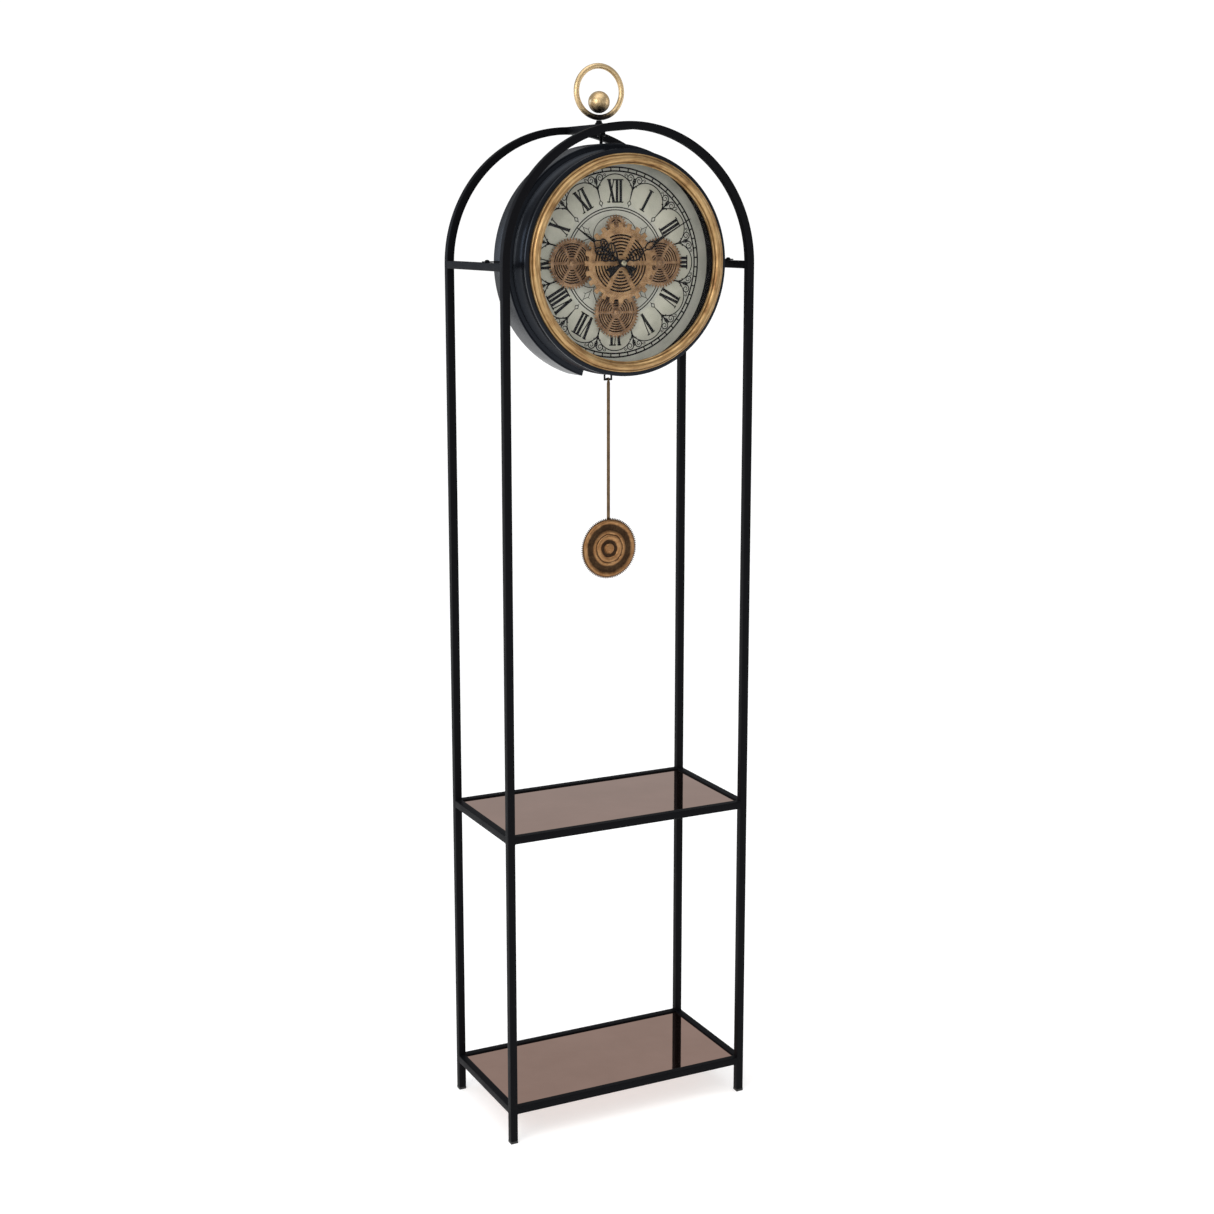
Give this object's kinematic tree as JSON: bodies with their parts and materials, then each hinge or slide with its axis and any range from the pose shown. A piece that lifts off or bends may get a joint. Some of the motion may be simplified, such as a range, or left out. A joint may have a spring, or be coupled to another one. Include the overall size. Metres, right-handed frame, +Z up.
{
  "type": "grandfather clock",
  "caption": "Tall arched square-tube floor clock with a round open-gear case, a hanging pendulum and two tinted mirror shelves.",
  "frame": {"origin": "on the floor, midway between the four legs", "axes": "+Z up, +X to the right of someone facing the dial, -Y towards that person"},
  "size_m": [0.469, 0.25, 1.8483],
  "materials": {
    "black_steel": "satin black powder coat",
    "case_black": "satin black paint on sheet steel",
    "hand_black": "satin black paint on thin sheet",
    "hanger_black": "black paint on bent strip",
    "antique_gold": "brushed antique gold, fading to black where the ring and ball meet",
    "bezel_gold": "hand-rubbed antique gold over dark brown",
    "gear_gold": "matt antique gold",
    "gear_copper": "dull copper brown with gold-worn teeth",
    "pendulum_bronze": "aged bronze with blackened recesses",
    "bright_steel": "bright turned metal",
    "shelf_mirror": "bronze-tinted mirror glass with polished edges",
    "clear_lens": "clear flat glass",
    "dial_cream": "matt cream-grey face with black printed ornament",
    "movement_plastic": "black moulded plastic",
    "cell_wrap": "plain dark wrapper with a bright cap",
    "foot_rubber": "black moulded rubber"
  },
  "bodies": {
    "stand": {"front_left_leg": "black_steel", "front_right_leg": "black_steel", "rear_left_leg": "black_steel", "rear_right_leg": "black_steel", "front_arch": "black_steel", "rear_arch": "black_steel", "left_side_bar": "black_steel", "right_side_bar": "black_steel", "top_bridge": "black_steel", "middle_front_rail": "black_steel", "middle_rear_rail": "black_steel", "middle_left_rail": "black_steel", "middle_right_rail": "black_steel", "middle_shelf_ledge": "black_steel", "lower_front_rail": "black_steel", "lower_rear_rail": "black_steel", "lower_left_rail": "black_steel", "lower_right_rail": "black_steel", "lower_shelf_ledge": "black_steel", "middle_shelf_glass": "shelf_mirror", "lower_shelf_glass": "shelf_mirror", "front_left_foot_cap": "foot_rubber", "front_right_foot_cap": "foot_rubber", "rear_left_foot_cap": "foot_rubber", "rear_right_foot_cap": "foot_rubber", "finial_ring": "antique_gold", "finial_ball": "antique_gold", "finial_stud": "black_steel", "hanger_bolt": "black_steel", "hanger_nut": "black_steel", "left_case_bracket": "black_steel", "right_case_bracket": "black_steel", "case_drum": "case_black", "back_plate": "case_black", "rear_band": "case_black", "bezel_ring": "bezel_gold", "lens": "clear_lens", "dial_plate": "dial_cream", "movement_housing": "movement_plastic", "gear_motor_housing": "movement_plastic", "movement_battery": "cell_wrap", "motor_battery": "cell_wrap", "movement_bushing": "bright_steel", "left_gear_post": "gear_copper", "right_gear_post": "gear_copper", "lower_gear_post": "gear_copper"},
    "pendulum": {"pendulum_hanger": "hanger_black", "pendulum_rod": "pendulum_bronze", "pendulum_bob": "pendulum_bronze"},
    "minute": {"minute_hand": "hand_black", "hand_cap": "bright_steel"},
    "hour": {"hour_hand": "hand_black"},
    "knob": {"setting_knob": "movement_plastic"},
    "gear_train": {"centre_gear": "gear_gold", "drive_gear": "gear_copper", "gear_arbor": "gear_copper"},
    "left_satellite": {"left_gear": "gear_copper"},
    "right_satellite": {"right_gear": "gear_copper"},
    "lower_satellite": {"lower_gear": "gear_copper"},
    "motor_pinion": {"upper_gear": "gear_copper"}
  },
  "joints": [
    {"name": "pendulum_swing", "type": "hinge", "parent": "stand", "child": "pendulum", "pos_m": [0, -0.034, 1.5475], "axis": [0, 1, 0], "range_deg": [-5, 5]},
    {"name": "minute_hand_turn", "type": "hinge", "parent": "stand", "child": "minute", "pos_m": [0, -0.091, 1.5175], "axis": [0, 1, 0], "continuous": true},
    {"name": "hour_hand_turn", "type": "hinge", "parent": "stand", "child": "hour", "pos_m": [0, -0.087, 1.5175], "axis": [0, 1, 0], "continuous": true},
    {"name": "setting_knob_turn", "type": "hinge", "parent": "stand", "child": "knob", "pos_m": [-0.019, -0.034, 1.4935], "axis": [0, 1, 0], "continuous": true},
    {"name": "gear_train_turn", "type": "hinge", "parent": "stand", "child": "gear_train", "pos_m": [0, -0.08, 1.5175], "axis": [0, 1, 0], "continuous": true},
    {"name": "left_gear_turn", "type": "hinge", "parent": "stand", "child": "left_satellite", "pos_m": [-0.0816, -0.065, 1.5175], "axis": [0, 1, 0], "continuous": true},
    {"name": "right_gear_turn", "type": "hinge", "parent": "stand", "child": "right_satellite", "pos_m": [0.0816, -0.065, 1.5175], "axis": [0, 1, 0], "continuous": true},
    {"name": "lower_gear_turn", "type": "hinge", "parent": "stand", "child": "lower_satellite", "pos_m": [0, -0.065, 1.4359], "axis": [0, 1, 0], "continuous": true},
    {"name": "upper_gear_turn", "type": "hinge", "parent": "stand", "child": "motor_pinion", "pos_m": [0, -0.065, 1.577], "axis": [0, 1, 0], "continuous": true}
  ],
  "couplings": [
    {"joint": "hour_hand_turn", "follows": "minute_hand_turn", "ratio": 0.083333},
    {"joint": "setting_knob_turn", "follows": "minute_hand_turn", "ratio": -3},
    {"joint": "left_gear_turn", "follows": "gear_train_turn", "ratio": -1},
    {"joint": "right_gear_turn", "follows": "gear_train_turn", "ratio": -1},
    {"joint": "lower_gear_turn", "follows": "gear_train_turn", "ratio": -1},
    {"joint": "upper_gear_turn", "follows": "gear_train_turn", "ratio": -2.1818}
  ]
}
